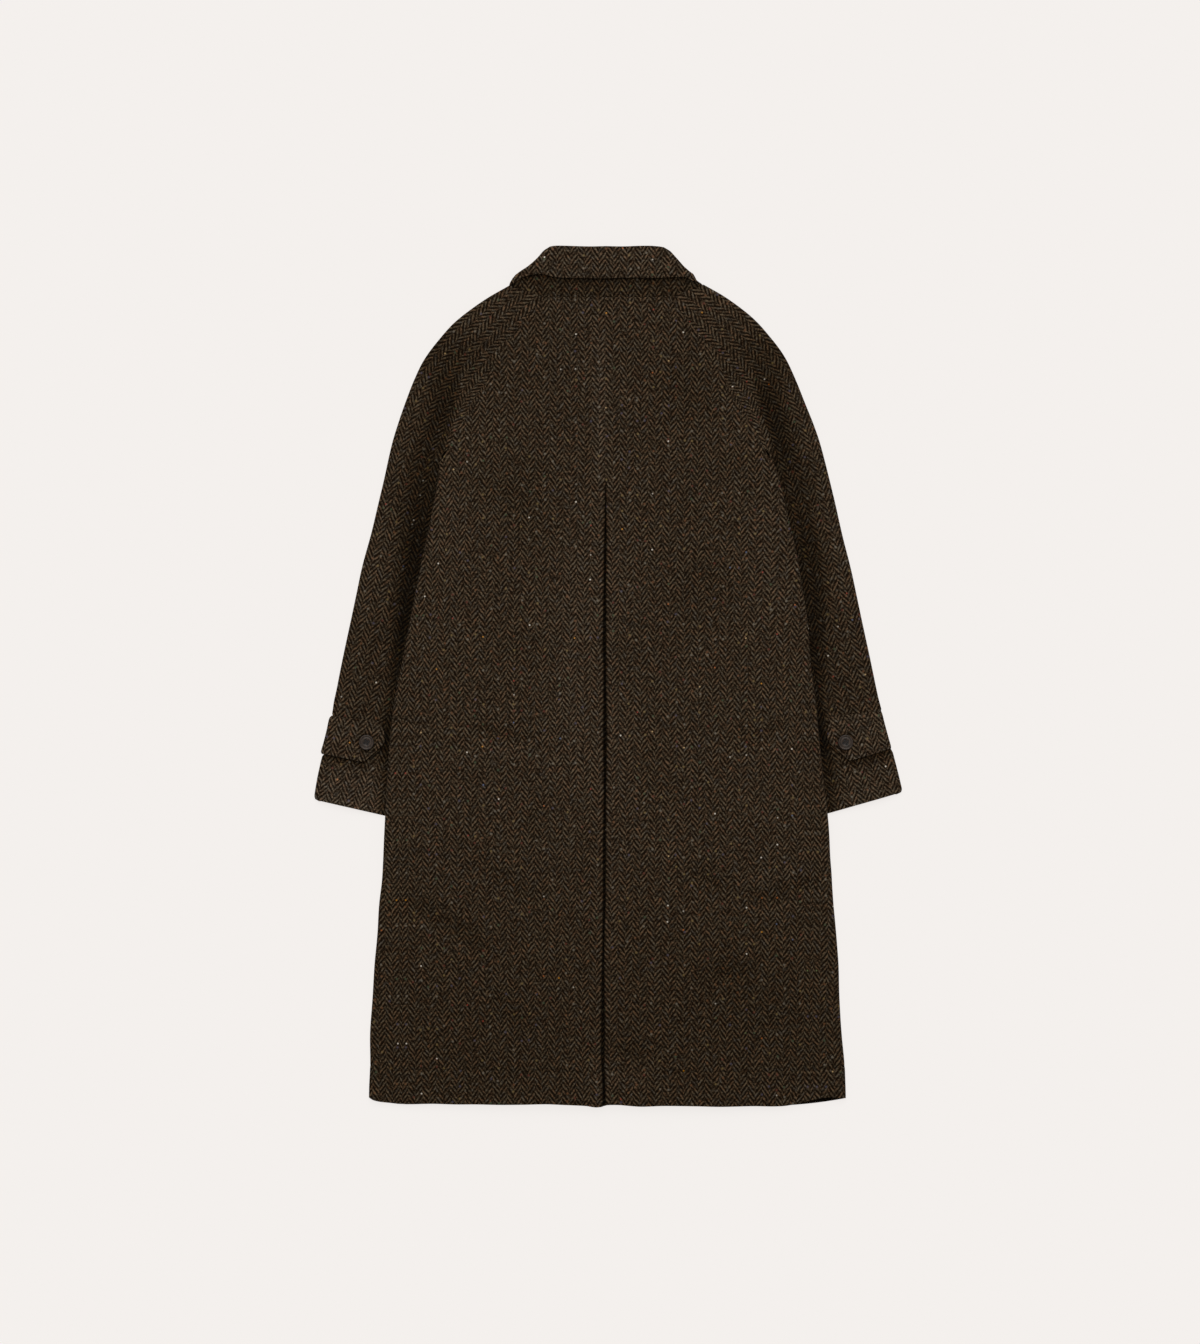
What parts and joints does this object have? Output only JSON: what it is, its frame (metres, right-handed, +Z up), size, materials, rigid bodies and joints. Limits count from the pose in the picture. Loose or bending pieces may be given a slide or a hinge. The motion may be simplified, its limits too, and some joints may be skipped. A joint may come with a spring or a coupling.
{
  "type": "raglan coat laid flat",
  "caption": "Long tweed raglan overcoat laid flat on a surface with its back upwards, with a fold-down collar, an open inverted back pleat and buttoned cuff straps.",
  "frame": {"origin": "on the floor, under the middle of the coat's bounding box", "axes": "+Y towards the collar, +X to the right of the back, +Z up from the floor through the back"},
  "size_m": [0.8, 1.17, 0.0133],
  "materials": {
    "tweed": "brown herringbone wool tweed with coloured flecks, matt",
    "horn": "dark grey-brown horn-effect button, softly polished"
  },
  "bodies": {
    "root": {"back_left": "tweed", "back_right": "tweed", "front_left": "tweed", "front_right": "tweed", "sleeve_back_left": "tweed", "sleeve_back_right": "tweed", "sleeve_front_left": "tweed", "sleeve_front_right": "tweed", "pleat_underlay": "tweed", "collar_stand": "tweed", "collar_fall": "tweed", "cuff_strap_left": "tweed", "cuff_strap_right": "tweed", "cuff_button_left": "horn", "cuff_button_right": "horn"}
  },
  "joints": []
}
